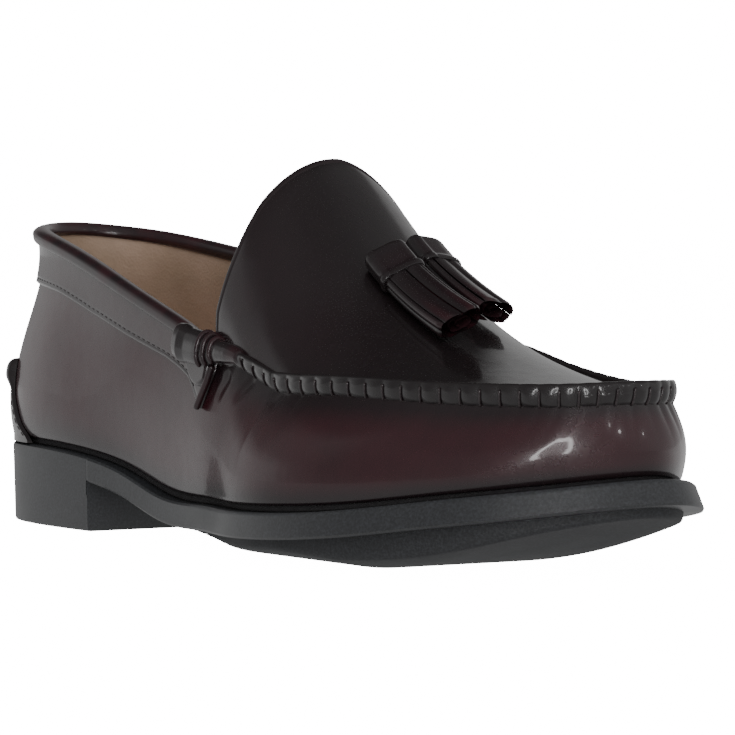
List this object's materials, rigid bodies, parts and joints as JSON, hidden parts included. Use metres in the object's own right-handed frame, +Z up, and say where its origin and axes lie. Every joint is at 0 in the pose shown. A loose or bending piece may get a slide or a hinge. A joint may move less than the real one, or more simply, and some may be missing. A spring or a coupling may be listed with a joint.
{
  "type": "tassel loafer",
  "caption": "Slip-on leather shoe with a raised moccasin seam, tall rounded tongue, tassels at the throat, open collar and a rubber sole with a block heel.",
  "frame": {"origin": "centre of the footprint's bounding box, on the floor under the sole", "axes": "+Z up, toe towards -Y, heel towards +Y, the wearer's left (medial side of this right shoe) towards +X"},
  "size_m": [0.105, 0.3034, 0.1074],
  "materials": {
    "sole": "satin, fine tread texture below",
    "rand": "matt",
    "insole": "matt, smooth",
    "upper": "high gloss, polished",
    "collar_band": "high gloss, polished",
    "binding": "gloss",
    "heel_patch": "high gloss, polished",
    "beef_roll": "gloss",
    "tassel": "gloss",
    "lace": "gloss"
  },
  "bodies": {
    "root": {"outsole": "sole", "rand": "rand", "insole": "insole", "upper": "upper", "collar_band": "collar_band", "collar_binding": "binding", "heel_patch": "heel_patch", "beef_roll_lateral": "beef_roll", "beef_roll_medial": "beef_roll", "tassel_lateral": "tassel", "tassel_medial": "tassel", "tassel_lace": "lace"}
  },
  "joints": []
}
